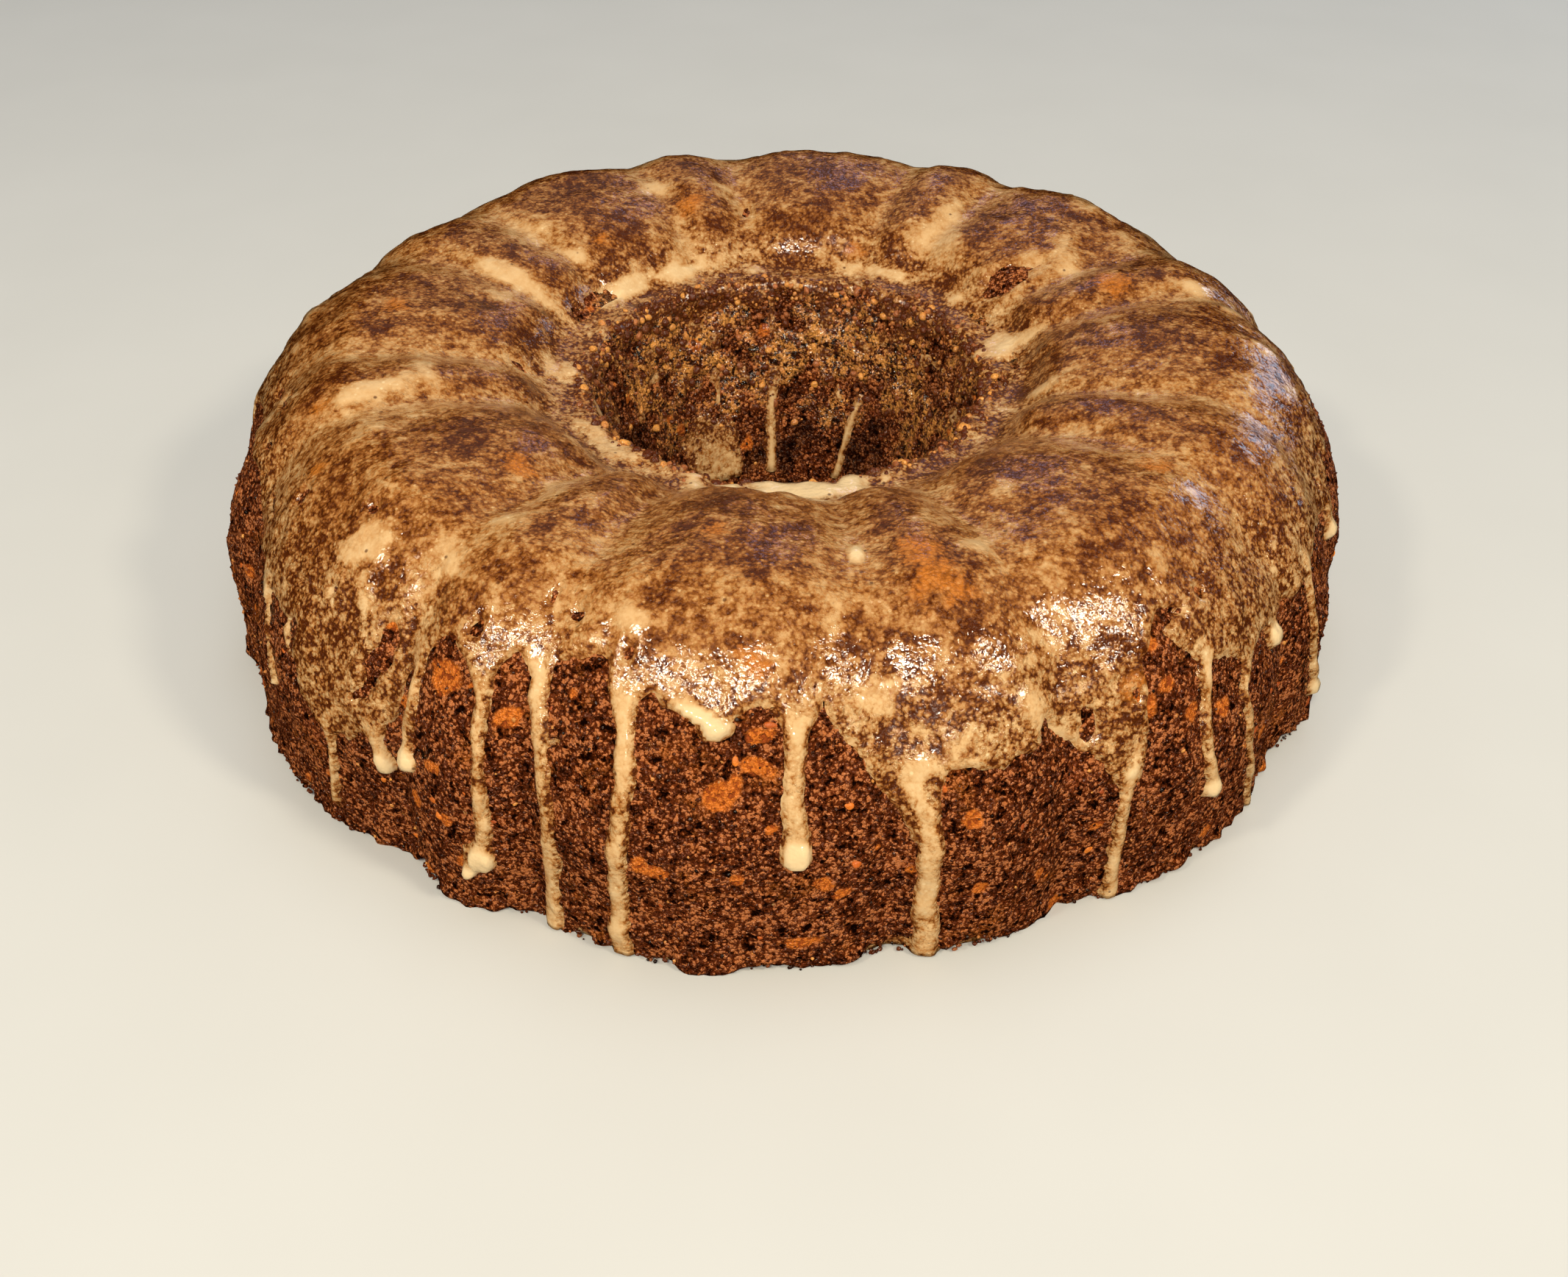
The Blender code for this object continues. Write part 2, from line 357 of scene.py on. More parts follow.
def hollow_at(theta, height):
    """The same, with the creases of the wall turning into soft valleys over the crown."""
    angle = wrapped(theta)
    soft = ease((height - 0.3 * CROWN_AT) / (0.55 * CROWN_AT))
    creased = np.interp(angle, HOLLOW_ANGLES, CREASED)
    return creased * (1.0 - soft) + np.interp(angle, HOLLOW_ANGLES, SOFTENED) * soft


def skin(theta, height):
    """The cake's smooth fluted surface, with the slow unevenness of a baked one."""
    radius, z, out_r, out_z, depth = [np.interp(height, LENGTHS, column) for column in TABLE.T]
    depth = depth * (1.0 + 0.16 * noise(circle_points(theta), 0.55, 21, 1))
    sink = depth * hollow_at(theta, height)
    z = z - out_z * sink
    points = circle_points(theta, radius - out_r * sink, z)
    swell = 0.5 * MM * noise(points, 34, 31) * ease(z / (6 * MM))
    return points + circle_points(theta, out_r, out_z) * swell[..., None]


def skin_normal(theta, height):
    d_theta = 0.002
    d_height = 0.25 * MM
    around = skin(theta + d_theta, height) - skin(theta - d_theta, height)
    low = np.maximum(height - d_height, 0)
    high = np.minimum(height + d_height, SECTION_END)
    up = skin(theta, high) - skin(theta, low)
    normal = np.cross(around, up)
    return normal / np.linalg.norm(normal, axis=-1)[..., None]


def lumps(points):
    """Relief that shows through the glaze too."""
    slow = 0.55 * noise(points, 13, 43) + 0.34 * noise(points, 7, 41)
    return MM * (slow + 0.22 * noise(points, 3.1, 42))


def torn_rim(points, height):
    """The rough rim of the hole, which the glaze follows too."""
    torn = 0.85 * MM * noise(points, 2.3, 53) + 0.55 * MM * noise(points, 4.5, 54) + 0.5 * MM
    return torn * near_rim(height)


def near_rim(height):
    return np.exp(-(((height - RIM_AT - 0.5 * MM) / (2.6 * MM)) ** 2))


def crumb_relief(points, height):
    """Height of bare crumb above the smooth form, with its grains and pores."""
    grains = 0.24 * MM * noise(points, 1.7, 51) + 0.2 * MM * noise(points, 0.95, 52)
    grains = grains + torn_rim(points, height)
    down = ease((height - RIM_AT) / (3 * MM)) * ease((SOAKED_END - height) / (8 * MM))
    grains = grains + down * MM * (0.75 * noise(points, 3.2, 55) + 0.45 * noise(points, 1.9, 56))
    gap, value = nearest_cell(points, 4.2 * MM, 61)
    pores = np.where(value > 0.35, ease(1.0 - gap / 0.34), 0) * (0.5 + value)
    return lumps(points) + (grains - 1.1 * MM * pores)


# ---- the glaze's coverage


def chance_side(rng):
    """Edge points and drips for the side that isn't shown, in the form of the shown ones."""
    edge, drips = [], []
    angle = HIDDEN_SIDE[0]
    while angle < HIDDEN_SIDE[1]:
        arch = rng.uniform(3, 6.5)
        top = rng.uniform(42, 57)
        tongue = top - rng.uniform(3, 16)
        edge += [(angle, top - 3), (angle + 0.5 * arch, top), (angle + arch, top - 2)]
        foot = angle + arch + rng.uniform(1.5, 3.5)
        edge += [(foot, tongue), (foot + rng.uniform(1, 3), tongue + rng.uniform(-1, 2))]
        if rng.uniform() < 0.85:
            tip = rng.choice([-2, rng.uniform(6, 30)], p=[0.35, 0.65])
            width = rng.uniform(2.4, 4.4)
            top, end = foot + 0.6, foot + rng.uniform(-1, 2)
            bend = 0.5 * (top + end) + rng.uniform(-0.8, 0.8)
            drips.append(([(top, tongue + 4), (bend, 0.5 * (tongue + tip)), (end, tip)], width, width * 1.2))
        angle = edge[-1][0] + rng.uniform(1, 3)
    return edge, drips


HIDDEN_EDGE, HIDDEN_DRIPS = chance_side(np.random.default_rng(7))
ALL_DRIPS = DRIPS + HIDDEN_DRIPS


def edge_height(theta):
    """Height of the coat's lower edge, in mm along the section."""
    angles, heights = np.array(sorted(GLAZE_EDGE + HIDDEN_EDGE)).T
    angles = np.radians(angles)
    angles = np.concatenate([angles - 2 * math.pi, angles, angles + 2 * math.pi])
    heights = np.tile(heights, 3)
    at = np.clip(np.searchsorted(angles, theta), 1, len(angles) - 1)
    t = ease((theta - angles[at - 1]) / (angles[at] - angles[at - 1]))
    return heights[at - 1] * (1.0 - t) + heights[at] * t


MARKS = np.arange(-20, 320, 1.5)  # mm along the section, where a drip's sway is drawn


def located(theta, height):
    """(angle, millimetres along the section, radius)."""
    return theta, height / MM, np.interp(height, LENGTHS, TABLE[:, 0])


def spot_distance(place, angle, at, half_width, half_height, lean=0):
    """How far each point is from the middle of an oval spot: 1 at the spot's edge."""
    theta, mm, radius = place
    across = turned(theta, angle) * radius / MM - lean * (mm - at) / half_height
    return np.hypot(across / half_width, (mm - at) / half_height)


def drip_inside(place, path, width, tip_width, seed):
    """(mm inside the drip, share of its own run, nearness to its tip), the last two from 0 to 1."""
    theta, mm, radius = place
    angles, along = zip(*path)
    top_mm, tip_mm = along[0], along[-1]
    way = 1.0 if tip_mm > top_mm else -1.0  # a drip in the hole counts up, one on the wall down
    run = way * (mm - top_mm)
    length = abs(tip_mm - top_mm)
    t = np.clip(run / length, 0, 1)
    marks = np.stack([MARKS, MARKS * 0.7, MARKS * 0], -1)
    sway = 0.4 * noise(marks, 7, seed, 1) + 0.25 * noise(marks, 2.6, seed + 1, 1)
    middle = np.interp(run, way * (np.array(along) - top_mm), angles)
    across = turned(theta, middle) * radius / MM + np.interp(mm, MARKS, sway)
    bulb = ease((run - length + 0.9 * tip_width) / (0.7 * tip_width))
    neck = 1.0 - 0.15 * np.sin(math.pi * np.clip(t / 0.85, 0, 1))
    half = 0.5 * (width * neck * (1.0 - bulb) + tip_width * bulb)
    flare = 1.1 * ease(1.0 - run / 7) if way < 0.0 else 0.0
    below = np.maximum(run - length, 0)
    above = np.maximum(-run - 2, 0)
    inside = half + flare - np.hypot(across, below) - 3.0 * above
    share = ease((inside + 0.2) / 1) * ease((run + 2) / 7)
    return inside, share, bulb * ease(inside / 0.6) * (0.0 < tip_mm < LAST_TIP)


def coverage(theta, height):
    """The same for the whole glaze: (mm inside it, share of a drip, nearness to a tip)."""
    place = located(theta, height)
    mm = place[1]
    points = skin(theta, height)
    ragged = 0.75 * noise(points, 3.4, 73) + 0.45 * noise(points, 1.6, 74)
    fray = noise(points, 2.6, 78)
    inner_edge = RIM_MM + 3.5 + 4.0 * noise(circle_points(theta), 0.22, 71, 1)
    lower = (mm - edge_height(theta)) * 0.62
    inner = (inner_edge - mm) * 0.5
    holes = 1.6 - 8.0 * np.clip(noise(points, 4.2, 75) - 0.38, 0, 1)
    holes = holes + np.maximum(lower - 5, 0) * 0.5
    coat = np.minimum(np.minimum(lower, inner), holes)
    for spot in WINDOWS:  # spot[2] is its half width
        coat = np.minimum(coat, (spot_distance(place, *spot) + 0.35 * fray - 1) * spot[2])
    below_rim = mm - RIM_MM
    spots = 7.0 * (noise(points, 3.2, 76) - 0.46) - 0.12 * np.maximum(below_rim - 18, 0)
    for spot in HOLE_SHEETS:
        size = spot_distance(place, *spot)
        spots = np.maximum(spots, (1.0 - size + 0.35 * noise(points, 5, 77)) * spot[2])
    coat = np.where(below_rim > 2, np.maximum(coat, spots), coat)
    drip, shares, tips = -9, 0, 0.0
    for k, (path, width, tip_width) in enumerate(ALL_DRIPS + HOLE_DRIPS):
        inside, share, tip = drip_inside(place, path, width, tip_width, 80 + 2 * k)
        drip = np.maximum(drip, inside)
        shares = np.maximum(shares, share)
        tips = np.maximum(tips, tip)
    inside = BLEND * np.logaddexp((coat + ragged) / BLEND, (drip + 0.42 * ragged) / BLEND)
    return inside, shares, tips


def pooled(place, points):
    """Extra depth in mm where the glaze has run together."""
    fray = 0.5 * noise(points, 6, 91) + 0.35 * noise(points, 2.5, 92)
    deepest = thinner = 0.0
    for *spot, depth in POOLS:
        share = depth * ease((1.25 + fray - spot_distance(place, *spot)) / 0.8)
        deepest = np.maximum(deepest, share)
        thinner = np.minimum(thinner, share)
    chance = 0.8 * ease(2.2 * noise(points, 8, 94) - 0.85 + fray)
    return deepest + chance * (1.0 - ease(deepest)) + thinner


def valley_film(theta, mm):
    """Extra depth in mm in the valleys, where the glaze ran down, and less on the lobes."""
    reach = ease((mm - 46) / 30) * ease((RIM_MM + 1 - mm) / 6)
    return (0.75 * np.interp(wrapped(theta), HOLLOW_ANGLES, SOFTENED) - 0.22) * reach


def glaze_surface(theta, height):
    """(rise of the glaze's skin above the smooth form, thickness that its colour follows). Deep glaze
    hides the crumb's relief."""
    place = located(theta, height)
    points = skin(theta, height)
    inside, drip, tip = coverage(theta, height)
    pool = pooled(place, points) * MM
    valley = valley_film(theta, place[1]) * MM
    mottle = 0.3 * noise(points, 5.5, 95) + 0.25 * noise(points, 2.4, 96)
    bead = np.exp(-np.maximum(inside, 0) / 2.5)
    in_hole = ease((height - RIM_AT) / (3 * MM))
    film = COAT_DEPTH * (1.0 + mottle) * (1.0 - 0.5 * in_hole) * (1.0 - 0.55 * near_rim(height))
    body = film + EDGE_BEAD * bead * (1.0 - in_hole) + 0.55 * pool + 0.4 * valley
    body = body * (1.0 - drip) + (DRIP_DEPTH * (1.0 + 0.5 * mottle) + (TIP_DEPTH - DRIP_DEPTH) * tip) * drip
    rise = np.sqrt(1.0 - (1.0 - np.clip(inside / EDGE_ROUND, 0, 1)) ** 2)
    depth = np.where(inside > 0, body * rise, -SUNK * ease(-inside / 1.2))
    in_spot = in_hole * ease((place[1] - RIM_MM - 5) / 3)
    streak = 0.3 * MM * noise(points, 8, 97) * drip
    colour = body - 0.2 * MM * bead + 0.5 * MM * drip + 1.0 * MM * tip + 0.45 * pool + 0.6 * valley + streak
    colour = colour + 0.28 * MM * in_spot - 0.55 * MM * drip * np.exp(-np.maximum(inside, 0) / 0.45)
    ripple = 0.07 * MM * noise(points, 1.5, 111) * np.clip(1.0 - colour / (1.4 * MM), 0, 1)
    torn = torn_rim(points, height) * np.clip(1.6 - colour / (1.0 * MM), 0.25, 1)
    return lumps(points) + torn + depth + ripple, colour


# ---- meshes


def stitched(rings):
    """Faces between rings, each with as many columns as the next, or half, or twice. The last ring
    meets the first."""
    starts = np.concatenate([[0], np.cumsum([len(ring) for ring in rings])])
    faces = []
    for i in range(len(rings)):
        j = (i + 1) % len(rings)
        a, b = len(rings[i]), len(rings[j])
        low, high = starts[i], starts[j]
        k = np.arange(min(a, b))
        after = (k + 1) % min(a, b)
        if a == b:
            parts = [(low + k, low + after, high + after, high + k)]
        elif a == 2 * b:
            mid, end = low + 2 * k + 1, low + (2 * k + 2) % a
            parts = [(low + 2 * k, mid, high + k), (mid, high + after, high + k), (mid, end, high + after)]
        else:
            mid, end = high + 2 * k + 1, high + (2 * k + 2) % b
            parts = [(low + k, mid, high + 2 * k), (low + k, low + after, mid), (low + after, end, mid)]
        for corners in parts:
            faces += np.stack(corners, -1).tolist()
    return faces


def add_object(name, data):
    thing = bpy.data.objects.new(name, data)
    bpy.context.scene.collection.objects.link(thing)
    return thing


def new_piece(name, points, faces, material, values):
    """A smooth piece on the cake's body, with numbers kept at its points for the material."""
    mesh = bpy.data.meshes.new(name)
    mesh.from_pydata(np.asarray(points).tolist(), [], faces)
    mesh.shade_smooth()
    for key, numbers in values.items():
        attribute = mesh.attributes.new(key, "FLOAT", "POINT")
        attribute.data.foreach_set("value", np.ascontiguousarray(numbers, np.float32))
    mesh.materials.append(material)
    piece = add_object(name, mesh)
    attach(piece, "root")
    return piece


def rows(bands):
    """(angles, heights) of each ring of a mesh. A band is (start, end, step, angles)."""
    for start, end, step, angles in bands:
        for height in np.linspace(start, end, max(2, int(round((end - start) / step))), endpoint=False):
            yield angles, np.full(len(angles), height)


def form_point(degrees, mm):
    return skin(np.array([math.radians(degrees)]), np.array([mm * MM]))[0]


def fruit_in_crumb(points):
    """1 inside a cut bit of fruit, falling to 0 past its ragged edge."""
    share = np.zeros(len(points))
    fray = 0.3 * noise(points, 2.6, 141) + 0.25 * noise(points, 1.3, 142)
    theta = np.arctan2(points[:, 0], -points[:, 1])
    radius = np.hypot(points[:, 0], points[:, 1])
    outside = radius > CROWN[0]
    for angle, mm, length, width, turn in FRUIT_SHOWN:
        middle = form_point(angle, mm)
        across = turned(theta, angle) * radius
        up = (points[:, 2] - middle[2]) * 1.15
        along = across * math.cos(turn) + up * math.sin(turn)
        aside = up * math.cos(turn) - across * math.sin(turn)
        away = 2.0 * np.hypot(along / (length * MM), aside / (width * MM))
        share = np.maximum(share, ease(1.3 - 1.0 * away + fray) * outside)
    rng = np.random.default_rng(34)
    for _ in range(150):
        middle = points[rng.integers(len(points))]
        away = np.linalg.norm(points - middle, axis=-1) / (rng.uniform(0.8, 2.3) * MM)
        share = np.maximum(share, 0.85 * ease(1.3 - 1.0 * away + fray))
    return share


def soaked_and_darker_share(theta, height, points):
    """1 where glaze has soaked into the wall of the hole, fading towards the hole's foot, 0 on other crumb,
    and down to -0.8 where that wall is darker."""
    place = located(theta, height)
    amount = 0.46 + 0.8 * noise(points, 6, 131) + 1.1 * noise(points, 3.2, 55)
    for *spot, more in SOAKED_AND_DARKER:
        amount = amount + more * np.exp(-(spot_distance(place, *spot) ** 2))
    inside = ease((NOSE[0] + 2 * MM - place[2]) / (6 * MM))
    wet = ease((points[..., 2] - 4 * MM) / (22 * MM)) * ease(amount)
    return inside * (wet + 0.8 * np.clip(amount - 0.1, -1, 0))


def on_crumb(theta, height, sink=0):
    """Points sunk into the bare crumb's surface, and the normals there."""
    points = skin(theta, height)
    normal = skin_normal(theta, height)
    return points + normal * (crumb_relief(points, height) - sink)[:, None], normal


def crumb_body(material):
    theta = np.linspace(-math.pi, math.pi, COLUMNS, endpoint=False)
    coarse = theta[::2]
    bands = [
        (0, WALL_REACH, WALL_STEP, theta),
        (WALL_REACH, CROWN_AT, DOME_STEP * 1.5, theta),
        (CROWN_AT, RIM_LOW, INNER_STEP, coarse),
        (RIM_LOW, SOAKED_END, RIM_STEP, coarse),
        (SOAKED_END, SECTION_END, INNER_STEP, coarse),
    ]
    rings, soaked = [], []
    for angles, height in [*rows(bands), (coarse, np.full(len(coarse), SECTION_END))]:
        rings.append(torn_foot(on_crumb(angles, height)[0], angles, height))
        soaked.append(soaked_and_darker_share(angles, height, rings[-1]))
    below = underside(rings[-1], rings[0])
    soaked += [np.zeros(len(ring)) for ring in below]
    rings += below
    points = np.concatenate(rings)
    values = {"soaked": np.concatenate(soaked), "fruit": fruit_in_crumb(points)}
    piece = new_piece("crumb_body", points, stitched(rings), material, values)
    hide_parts("bundt_cake")


def torn_foot(points, theta, height):
    """Tears the cut edge at the base: short teeth, and stretches that stand off the plate."""
    share = ease(1.0 - height / (4.5 * MM))
    circle = circle_points(theta, BASE_RADIUS)
    lift = 2.2 * MM * np.clip(noise(circle, 17, 101) * 1.6 - 0.35, 0, 1)
    for degrees, half_width, height_mm in LIFTS:
        away = np.degrees(turned(theta, degrees)) / half_width
        lift = np.maximum(lift, height_mm * MM * np.exp(-(away**2)))
    lift = lift + 0.8 * MM * np.clip(noise(circle, 3, 102), 0, 1)
    teeth = 0.9 * MM * noise(circle, 2.2, 103) + 0.8 * MM * noise(circle, 5.5, 104)
    points = points + circle_points(theta, teeth * share)
    points[:, 2] = np.maximum(points[:, 2] + lift * share, 0)
    return points


def underside(inner, outer):
    """Rings on the floor from the hole's foot back to the torn edge."""
    return [(inner * (1.0 - share) + outer[::2] * share) * (1, 1, 0) for share in (0.15, 0.55, 0.94)]


def glaze_columns():
    """Angles round the cake, closer together where drips run."""
    fine = np.linspace(-math.pi, math.pi, 14400, endpoint=False)
    density = np.ones(len(fine))
    for path, width, _ in ALL_DRIPS:
        start, end = path[0][0], path[-1][0]
        middle = 0.5 * (start + end)
        reach = math.radians(0.35 * width + 0.4 + 0.6 * abs(start - end))
        density += 1.3 * np.exp(-((turned(fine, middle) / reach) ** 2))
    share = np.cumsum(density) / density.sum()
    return np.interp((np.arange(COLUMNS) + 0.5) / COLUMNS, share, fine)


def glaze_skin(material):
    theta = glaze_columns()
    coarse = theta[::2]
    hole_end = RIM_AT + GLAZE_END * (SECTION_END - RIM_AT)
    bands = [
        (GLAZE_START, WALL_REACH, WALL_STEP, theta),
        (WALL_REACH, CROWN_AT, DOME_STEP, theta),
        (CROWN_AT, RIM_LOW, INNER_STEP, coarse),
        (RIM_LOW, RIM_HIGH, RIM_STEP, coarse),
        (RIM_HIGH, hole_end, INNER_STEP, coarse),
    ]
    rings, colours = [], []
    for angles, height in rows(bands):
        rise, colour = glaze_surface(angles, height)
        rings.append(skin(angles, height) + skin_normal(angles, height) * rise[:, None])
        colours.append(colour)
    backs = [hole_end, 0.5 * (hole_end + RIM_AT), RIM_AT, 0.5 * (CROWN_AT + RIM_AT), CROWN_AT]
    backs += [0.5 * (CROWN_AT + WALL_REACH), WALL_REACH, 0.6 * WALL_REACH, 0.3 * WALL_REACH, GLAZE_START]
    for height in backs:
        points = skin(coarse, np.full(len(coarse), height))
        inward = circle_points(coarse, *CORE) - points
        inward /= np.linalg.norm(inward, axis=1)[:, None]
        points = points + inward * GLAZE_BACK * MM
        points[:, 2] = np.maximum(points[:, 2], 0.5 * MM)
        rings.append(points)
        colours.append(np.full(len(coarse), COAT_DEPTH))
    points = np.concatenate(rings)
    values = {"coat_mm": np.concatenate(colours) / MM, "fruit": fruit_below(points)}
    new_piece("glaze", points, stitched(rings), material, values)


def fruit_below(points):
    """1 where a bit of fruit lies under the glaze, 0 well away from any."""
    share = np.zeros(len(points))
    fray = 0.4 * noise(points, 4, 121) + 0.35 * noise(points, 1.9, 122)
    for angle, mm, radius in FRUIT_UNDER:
        middle = form_point(angle, mm)
        away = np.linalg.norm(points - middle, axis=-1) / (radius * MM)
        share = np.maximum(share, ease(1.35 - 0.9 * away + fray))
    return share


def ball(subdivisions):
    """Points and triangles of a unit ball."""
    shape = bmesh.new()
    bmesh.ops.create_icosphere(shape, subdivisions=subdivisions, radius=1)
    shape.verts.index_update()
    points = np.array([tuple(vert.co) for vert in shape.verts])
    faces = np.array([[vert.index for vert in face.verts] for face in shape.faces])
    shape.free()
    return points, faces


def scattered(name, subdivisions, material, centres, normals, sizes, turns, shade):
    """One piece of many lumps, of sizes (along, across, thick) and of shades from 0 to 1."""
    points, faces = ball(subdivisions)
    all_points, all_faces = [], []
    for k, (centre, normal, size, turn) in enumerate(zip(centres, normals, sizes, turns)):
        side = np.cross(normal, (0, 0, 1))
        if np.linalg.norm(side) < 0.1:
            side = np.cross(normal, (0, 1, 0))
        side /= np.linalg.norm(side)
        along = math.cos(turn) * side + math.sin(turn) * np.cross(normal, side)
        across = np.cross(normal, along)
        wobble = 1.0 + 0.3 * noise(points * 0.9 + 17.0 * k, 0.8, 7, 1)[:, None]
        local = points * wobble * size
        all_points.append(centre + local @ np.array([along, across, normal]))
        all_faces += (faces + k * len(points)).tolist()
    values = {"shade": np.repeat(shade, len(points))}
    new_piece(name, np.concatenate(all_points), all_faces, material, values)


def bare_places(rng, count, low, high):
    """Chance places (angles, heights) where no glaze lies."""
    found = np.empty((2, 0))
    while found.shape[1] < count:
        tried = np.array([rng.uniform(-math.pi, math.pi, count), rng.uniform(low, high, count)])
        found = np.append(found, tried[:, coverage(*tried)[0] < -0.3], axis=1)
    return found[:, :count]


def loose_crumbs(material, count=6000):
    """Grains that stand out of the bare crumb on the wall, at the torn foot and in the hole."""
    rng = np.random.default_rng(21)
    parts = [
        bare_places(rng, int(0.74 * count), 0, WALL_REACH),
        bare_places(rng, int(0.12 * count), 0, 2.0 * MM),
        bare_places(rng, int(0.14 * count), RIM_AT - 2 * MM, SECTION_END - 6 * MM),
    ]
    theta, height = np.concatenate(parts, axis=1)
    radius = rng.uniform(0.2, 0.52, len(theta)) * MM
    centres, normals = on_crumb(theta, height, 0.35 * radius)
    centres[:, 2] = np.maximum(centres[:, 2], radius)
    sizes = radius[:, None] * rng.uniform(0.7, 1.3, (len(theta), 3))
    turns = rng.uniform(0, math.pi, len(theta))
    shade = rng.uniform(0, 1, len(theta))
    scattered("loose_crumbs", 1, material, centres, normals, sizes, turns, shade)


def rim_grains_and_painted_glints(material, count=2300):
    """Paler grains that stand on the torn rim of the hole, on the glaze too, and down its wall: partly
    pale crumbs and partly painted glints.
    """
    rng = np.random.default_rng(22)
    theta = rng.uniform(-math.pi, math.pi, count)
    on_rim = rng.normal(0.6, 1.7, count)
    on_wall = 3.0 + 31.0 * rng.uniform(0, 1, count) ** 1.3
    height = RIM_AT + np.where(rng.uniform(0, 1, count) < 0.42, on_rim, on_wall) * MM
    radius = 0.26 * MM + 0.7 * MM * rng.uniform(0, 1, count) ** 2.5
    points = skin(theta, height)
    normals = skin_normal(theta, height)
    glazed, colour = glaze_surface(theta, height)
    rise = np.maximum(glazed, crumb_relief(points, height)) - 0.1 * radius
    centres = points + normals * rise[:, None]
    sizes = radius[:, None] * rng.uniform(0.7, 1.3, (count, 3))
    turns = rng.uniform(0, math.pi, count)
    keep = colour < 1.5 * MM
    # Mostly pale shades, which stand partly for painted glints.
    shade = 1.0 - 0.65 * rng.uniform(0, 1, keep.sum()) ** 1.6
    scattered("rim_grains_and_painted_glints", 2, material, centres[keep], normals[keep], sizes[keep], turns[keep], shade)


def fruit_bits(material, count=90):
    """Small bits of orange fruit that stand a little out of the crumb."""
    rng = np.random.default_rng(33)
    theta, height = bare_places(rng, count, 3 * MM, WALL_REACH)
    length = rng.uniform(0.9, 2.6, count) * MM
    width = length * rng.uniform(0.5, 0.95, count)
    thick = 0.35 * width
    centres, normals = on_crumb(theta, height, 0.55 * thick)
    sizes = np.stack([0.5 * length, 0.5 * width, thick], -1)
    turns = rng.uniform(0, math.pi, count)
    shade = rng.uniform(0, 1, count)
    scattered("fruit_bits", 3, material, centres, normals, sizes, turns, shade)


# ---- materials


class Graph:
    """Builds a material's nodes. Each call returns the socket that the next one reads."""

    def __init__(self, name):
        self.material = bpy.data.materials.new(name)
        self.material.use_nodes = True
        self.tree = self.material.node_tree
        self.place = self.node("TexCoord", {}).outputs["Object"]

    def node(self, kind, sockets, **settings):
        made = self.tree.nodes.new("ShaderNode" + kind)
        for key, value in settings.items():
            setattr(made, key, value)
        for key, value in sockets.items():
            self.feed(made.inputs[key], value)
        return made

    def feed(self, socket, value):
        if isinstance(value, bpy.types.NodeSocket):
            self.tree.links.new(value, socket)
        else:
            socket.default_value = value

    def vector(self, operation, a, number):
        """a with the same number added to each part, or each part times it."""
        return self.node("VectorMath", {0: a, 1: (number,) * 3}, operation=operation).outputs[0]

    def noise(self, size, detail=3, rough=0.55, seed=0, distortion=0, output="Fac"):
        """Noise from about 0 to 1 with lumps of the given size in millimetres."""
        sockets = {"Vector": self.vector("ADD", self.place, seed), "Scale": 1.0 / (size * MM)}
        sockets |= {"Detail": detail, "Roughness": rough, "Distortion": distortion}
        return self.node("TexNoise", sockets).outputs[output]

    def cells(self, size, output="Distance", warp=0):
        """Packed cells of the given size. warp is how far their edges wander, in millimetres."""
        at = self.place
        if warp > 0.0:
            wander = self.noise(size, detail=2, rough=0.5, output="Color")
            wander = self.vector("MULTIPLY", self.vector("ADD", wander, -0.5), 2.0 * warp * MM)
            at = self.node("VectorMath", {0: at, 1: wander}, operation="ADD").outputs[0]
        return self.node("TexVoronoi", {"Vector": at, "Scale": 1.0 / (size * MM)}).outputs[output]

    def math(self, operation, a, b):
        return self.node("Math", {0: a, 1: b}, operation=operation).outputs[0]

    def weighted(self, *terms):
        """The sum of the values, each times its weight."""
        total = None
        for value, weight in terms:
            part = self.math("MULTIPLY", value, weight)
            total = part if total is None else self.math("ADD", total, part)
        return total

    def times(self, *values):
        product = values[0]
        for value in values[1:]:
            product = self.math("MULTIPLY", product, value)
        return product

    def swing(self, value):
        """From -0.5 to 0.5 in place of 0 to 1."""
        return self.math("SUBTRACT", value, 0.5)

    def split(self, colour, channel):
        return self.node("SeparateColor", {"Color": colour}).outputs[channel]

    def attribute(self, name):
        return self.node("Attribute", {}, attribute_name=name).outputs["Fac"]

    def ramp(self, value, stops):
        """A colour ramp. stops is [(place, colour)], from 0 to 1."""
        made = self.node("ValToRGB", {"Fac": value})
        elements = made.color_ramp.elements
        while len(elements) < len(stops):
            elements.new(0.5)
        for element, (at, colour) in zip(elements, stops):
            element.position = at
            element.color = (*colour, 1)
        return made.outputs["Color"]

    def fit(self, value, low, high, to_low=0, to_high=1):
        sockets = {"Value": value, "From Min": low, "From Max": high, "To Min": to_low, "To Max": to_high}
        return self.node("MapRange", sockets, clamp=True).outputs["Result"]

    def mix(self, share, a, b):
        made = self.node("Mix", {"Factor": share}, data_type="RGBA")
        for socket, colour in ((made.inputs[6], a), (made.inputs[7], b)):
            self.feed(socket, colour if isinstance(colour, bpy.types.NodeSocket) else (*colour, 1))
        return made.outputs[2]

    def bump(self, height, distance, strength=1):
        sockets = {"Height": height, "Distance": distance * MM, "Strength": strength}
        return self.node("Bump", sockets).outputs["Normal"]

    def finish(self, **sockets):
        shader = self.tree.nodes["Principled BSDF"]
        for key, value in sockets.items():
            self.feed(shader.inputs[key.replace("_", " ")], value)
        return self.material


